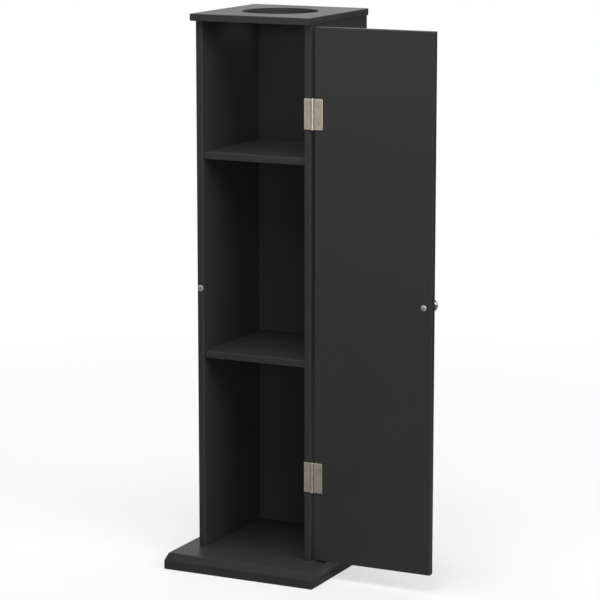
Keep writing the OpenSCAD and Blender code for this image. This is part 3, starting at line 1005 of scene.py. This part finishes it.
def makeKnob():
    shape = knobShape
    low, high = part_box("door_knob")
    middle = (low + high) / 2
    radius, out = (high.x - low.x) / 2, high.y - low.y
    rim, ease, steps = shape["rimRound"], shape["footEase"], shape["steps"]
    rimHeight, inner = out - shape["rimFromTop"], radius - rim
    flare, climb = inner - shape["neck"], rimHeight - rim - shape["neckEnd"]
    quarter = [math.pi / 2 * step / steps for step in range(steps + 1)]
    rings = [(shape["bore"], shape["boreDepth"]), (shape["bore"], 0), (shape["foot"], 0)]
    rings += roundOff(shape["foot"], shape["footHeight"], ease, shape["footSteps"])
    rings += [(shape["neck"], shape["footHeight"])]
    rings += [(shape["neck"] + flare * (1 - math.cos(a)), shape["neckEnd"] + climb * math.sin(a))
              for a in quarter]
    rings += [(inner + rim * math.cos(a), rimHeight + rim * math.sin(a))
              for a in map(math.radians, shape["rimSteps"])]
    crown = out - rimHeight - rim
    rings += [(max(inner * math.cos(a), shape["tip"]), rimHeight + rim + crown * math.sin(a))
              for a in quarter]
    knob = turnPiece("door_knob_turned", (middle.x, low.y, middle.z), back, rings, shape["sides"])
    smooth(knob, shape["smoothAngle"])
    settle(knob, "door", "knob_steel", metals["knob_steel"], "door_knob")


makeKnob()
print("knob done")


def makeCatch():
    shape = catchShape
    low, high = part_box("magnet_sleeve")
    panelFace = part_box("left_side_panel")[0].y
    seat = ((low.x + high.x) / 2, panelFace, (low.z + high.z) / 2)
    radius, length, bore = (high.x - low.x) / 2, high.y - panelFace, shape["magnet"] + shape["slack"]
    magnetBottom = shape["flange"] - shape["sink"] - shape["magnetLength"]
    rings = [(shape["barrel"] - shape["rim"], -length), (shape["barrel"], shape["rim"] - length),
             (shape["barrel"], 0), (radius, 0)]
    rings += roundOff(radius, shape["flange"], shape["rim"]) + [(bore, shape["flange"]), (bore, magnetBottom)]
    sleeve = turnPiece("magnet_sleeve_turned", seat, front, rings, shape["sleeveSides"])
    smooth(sleeve)
    settle(sleeve, "cabinet", "sleeve_steel", metals["sleeve_steel"], "magnet_sleeve")
    face, ease = shape["flange"] - shape["sink"], shape["magnetEase"]
    rings = [(shape["magnet"], magnetBottom)] + roundOff(shape["magnet"], face, ease, shape["easeSteps"])
    magnet = turnPiece("catch_magnet_disc", seat, front, rings, shape["magnetSides"])
    smooth(magnet)
    settle(magnet, "cabinet", "magnet", metals["magnet_nickel"], "catch_magnet")


makeCatch()
print("catch done")


# A fluted dowel standing on the origin
def dowelModel():
    shape = dowelShape
    radius, length, taper = shape["radius"], shape["length"], shape["taper"]
    rings = [(radius - taper / 2, 0), (radius, taper), (radius, length - taper), (radius - taper / 2, length)]
    dowel = turnPiece("dowel_model", (0, 0, 0), up, rings, 2 * shape["flutes"])
    edit(dowel, "FACE")
    step = 2 * math.pi / shape["flutes"]
    pickFaces(dowel, lambda centre, normal: abs(normal.z) < across
              and (math.atan2(centre.y, centre.x) % step) < step / 2)
    bpy.ops.mesh.inset(thickness=shape["fluteEdge"], depth=-shape["fluteDepth"], use_individual=True)
    leaveEdit()
    return dowel


def makeDowels():
    for node, way in dowelNodes.items():
        dowels = copyTo(dowelModel(), node + "_fluted", [(foot, way, 0) for foot in dowelFeet(node)])
        smooth(dowels)
        settle(dowels, "cabinet", "dowel_wood", beech, node)


makeDowels()
print("dowels done")


studio = {
    "floorSize": 60.0,
    "floorColour": (0.40, 0.40, 0.40),
    "floorLift": 0.515,  # what the floor gives to the camera, over the light on it
    "fade": (0.35, 1.5),  # distances between which the camera sees it turn white
    "mirrorLift": (0.0, 1.0),  # what it gives to reflections, beside the object and far in front of it
    "mirrorReach": (-0.5, -2.6),  # Y where that rise starts and ends
    "floorRoughness": 0.9,
    "ambient": 0.24,
    "background": 1.0,
}


# Masks of what the camera sees, and of what a reflection or clear glass shows
def viewMasks(tree):
    rays = tree.nodes.new("ShaderNodeLightPath").outputs
    mirrored = mathNode(tree, "MAXIMUM", rays["Is Glossy Ray"], rays["Is Transmission Ray"])
    return rays["Is Camera Ray"], mirrored


# White where it is seen, plain soft light for everything else
def makeWorld():
    world = bpy.data.worlds.new("studio")
    bpy.context.scene.world = world
    world.use_nodes = True
    tree = world.node_tree
    shade = tree.nodes["Background"]
    shade.inputs["Color"].default_value = (1, 1, 1, 1)
    seen = mathNode(tree, "MAXIMUM", *viewMasks(tree))
    strength = rangeNode(tree, seen, 0.0, 1.0, studio["ambient"], studio["background"])
    tree.links.new(strength, shade.inputs["Strength"])


def makeFloor():
    bpy.ops.object.select_all(action="DESELECT")
    bpy.ops.mesh.primitive_plane_add(size=studio["floorSize"], location=(0, 0, 0))
    floor = bpy.context.object
    floor.name = "floor"
    material, tree, shader = newMaterial("pale_floor")
    # far from the object the floor fades into the plain white background
    place = tree.nodes.new("ShaderNodeTexCoord").outputs["Object"]
    distance = tree.nodes.new("ShaderNodeVectorMath")
    distance.operation = "LENGTH"
    tree.links.new(place, distance.inputs[0])
    far = rangeNode(tree, distance.outputs["Value"], *studio["fade"], 0.0, 1.0)
    tree.links.new(mixColours(tree, far, studio["floorColour"], (0, 0, 0)), shader.inputs["Base Color"])
    split = tree.nodes.new("ShaderNodeSeparateXYZ")
    tree.links.new(place, split.inputs[0])
    inView = rangeNode(tree, far, 0.0, 1.0, studio["floorLift"], studio["background"])
    inMirror = rangeNode(tree, split.outputs["Y"], *studio["mirrorReach"], *studio["mirrorLift"])
    seen, mirrored = viewMasks(tree)
    lift = mathNode(tree, "ADD", mathNode(tree, "MULTIPLY", inView, seen),
                    mathNode(tree, "MULTIPLY", inMirror, mirrored))
    tree.links.new(lift, shader.inputs["Emission Strength"])
    shader.inputs["Emission Color"].default_value = (1, 1, 1, 1)
    shader.inputs["Roughness"].default_value = studio["floorRoughness"]
    shader.inputs["Specular IOR Level"].default_value = 0.0
    floor.data.materials.append(material)


lamps = {
    "key": {"place": (-1.45, -2.6, 1.6), "size": 1.4, "power": 6.0},
    "side": {"place": (2.4, -0.8, 1.6), "size": 1.4, "power": 32.0},
    "overhead": {"place": (0.1, -0.35, 1.6), "size": 0.7, "power": 7.0},
    "near": {"place": (0.25, -0.6, 1.15), "size": 0.5, "power": 3.0},
    "low": {"place": (1.3, -2.3, 0.60), "size": 1.0, "power": 18.0},
    "behind": {"place": (0.6, 2.4, 2.2), "size": 3.0, "power": 45.0},
    "left": {"place": (-2.0, 0.5, 2.6), "size": 1.4, "power": 30.0},
}
lampTarget = Vector((0.05, 0, 0.35))


def makeLamps():
    for name, lamp in lamps.items():
        light = bpy.data.lights.new(name, "AREA")
        light.energy, light.size = lamp["power"], lamp["size"]
        holder = bpy.data.objects.new(name, light)
        holder.location = lamp["place"]
        holder.rotation_euler = (lampTarget - Vector(lamp["place"])).to_track_quat("-Z", "Y").to_euler()
        bpy.context.scene.collection.objects.link(holder)


view = {
    "place": (1.4835, -2.9505, 0.9630),
    "turn": 26.128,  # degrees from straight ahead, to the left
    "tilt": 10.726,  # degrees down
    "lens": 159.9,
    "sensor": 36,
    "clip": (0.1, 100),
}


def makeCamera():
    camera = bpy.data.cameras.new("camera")
    camera.lens = view["lens"]
    camera.sensor_width = view["sensor"]
    camera.clip_start, camera.clip_end = view["clip"]
    holder = bpy.data.objects.new("camera", camera)
    holder.location = view["place"]
    holder.rotation_euler = (math.radians(90 - view["tilt"]), 0, math.radians(view["turn"]))
    bpy.context.scene.collection.objects.link(holder)
    bpy.context.scene.camera = holder


makeWorld()
makeFloor()
makeLamps()
makeCamera()
bpy.context.scene.view_settings.view_transform = "Standard"
print("studio done")
